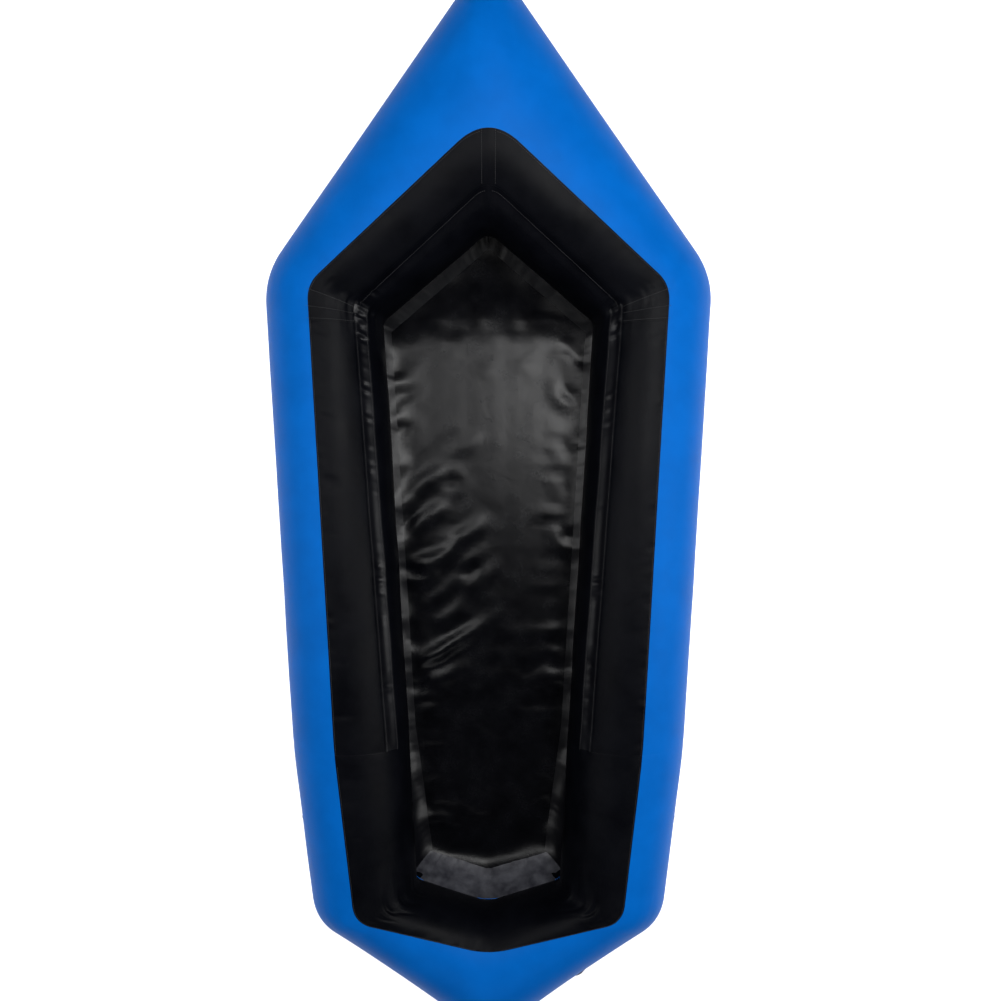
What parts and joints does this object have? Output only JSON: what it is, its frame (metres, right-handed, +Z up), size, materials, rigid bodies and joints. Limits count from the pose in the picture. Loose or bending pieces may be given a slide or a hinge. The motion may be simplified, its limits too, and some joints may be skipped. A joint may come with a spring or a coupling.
{
  "type": "packraft",
  "caption": "Inflatable kayak of the packraft kind: a pointed ring of mitred air tube round a sheet floor, with lashing rings and an inflation valve.",
  "frame": {"origin": "on the ground under the middle of the hull's length and width", "axes": "+Y to the bow, +X to starboard, +Z up"},
  "size_m": [0.9694, 2.2135, 0.3682],
  "materials": {
    "tube_blue": "satin blue coated nylon",
    "tube_black": "satin black coated nylon",
    "floor_black": "glossy black coated nylon",
    "tape_black": "smooth black seam tape",
    "patch_black": "smooth black coated patch",
    "webbing_black": "woven black webbing",
    "ring_steel": "dull grey wire",
    "spring_steel": "bright spring wire",
    "valve_plastic": "moulded black plastic",
    "valve_rubber": "soft black rubber"
  },
  "bodies": {
    "hull": {"bow_inner_left": "tube_black", "bow_inner_right": "tube_black", "bow_lower_left": "tube_black", "bow_lower_right": "tube_black", "bow_outer_left": "tube_blue", "bow_outer_right": "tube_blue", "bow_seam_tape": "tape_black", "bow_strip_inner": "tube_black", "bow_strip_lower": "tube_black", "bow_strip_outer": "tube_blue", "cap_strap": "valve_rubber", "floor": "floor_black", "floor_tape_bow": "tape_black", "floor_tape_left": "tape_black", "floor_tape_right": "tape_black", "floor_tape_stern": "tape_black", "quarter_inner_left": "tube_black", "quarter_inner_right": "tube_black", "quarter_outer_left": "tube_blue", "quarter_outer_right": "tube_blue", "quarter_tapes": "tape_black", "ring_patch_bow": "patch_black", "ring_patch_left": "patch_black", "ring_patch_right": "patch_black", "ring_tab_bow": "webbing_black", "ring_tab_left": "webbing_black", "ring_tab_right": "webbing_black", "shoulder_patch_left": "tape_black", "shoulder_patch_right": "tape_black", "side_inner_left": "tube_black", "side_inner_right": "tube_black", "side_lower_left": "tube_black", "side_lower_right": "tube_black", "side_outer_left": "tube_blue", "side_outer_right": "tube_blue", "side_seam_tape_left": "tape_black", "side_seam_tape_right": "tape_black", "stern_inner_left": "tube_black", "stern_inner_right": "tube_black", "stern_outer_left": "tube_blue", "stern_outer_right": "tube_blue", "stern_strip_inner": "tube_black", "stern_strip_outer": "tube_blue", "strap_collar": "valve_rubber", "valve_body": "valve_plastic", "valve_gasket": "valve_rubber", "valve_nut": "valve_plastic", "valve_patch": "patch_black", "valve_spring": "spring_steel"},
    "left_ring": {"ring_left": "ring_steel"},
    "right_ring": {"ring_right": "ring_steel"},
    "bow_ring": {"ring_bow": "ring_steel"},
    "cap_carrier": {"strap_link": "valve_rubber"},
    "cap": {"valve_cap": "valve_plastic", "cap_gasket": "valve_rubber"},
    "poppet": {"valve_poppet": "valve_plastic", "valve_seal": "valve_rubber", "valve_button": "valve_plastic"}
  },
  "joints": [
    {"name": "ring_right_swing", "type": "hinge", "parent": "hull", "child": "right_ring", "pos_m": [0.3906, -0.67366, 0.07366], "axis": [-0.1458, -0.9891, 0.0202], "range_deg": [-112, 60]},
    {"name": "ring_left_swing", "type": "hinge", "parent": "hull", "child": "left_ring", "pos_m": [-0.3906, -0.67366, 0.07366], "axis": [-0.1458, 0.9891, -0.0202], "range_deg": [-112, 60]},
    {"name": "ring_bow_swing", "type": "hinge", "parent": "hull", "child": "bow_ring", "pos_m": [0, 1.05216, 0.3541], "axis": [1, 0, 0], "range_deg": [-4, 175]},
    {"name": "valve_cap_lift", "type": "slide", "parent": "hull", "child": "cap_carrier", "axis": [0.5432, -0.8096, -0.2223], "range_m": [0, 0.04], "deforming": ["cap_strap"]},
    {"name": "valve_cap_turn", "type": "hinge", "parent": "cap_carrier", "child": "cap", "pos_m": [0.1875, -0.9824, 0.10998], "axis": [0.5432, -0.8096, -0.2223], "range_deg": [0, 90]},
    {"name": "valve_poppet_push", "type": "slide", "parent": "hull", "child": "poppet", "axis": [-0.5432, 0.8096, 0.2223], "range_m": [0, 0.0035], "stiffness_N_per_m": 400, "springref_m": -0.002, "deforming": ["valve_spring"]}
  ]
}
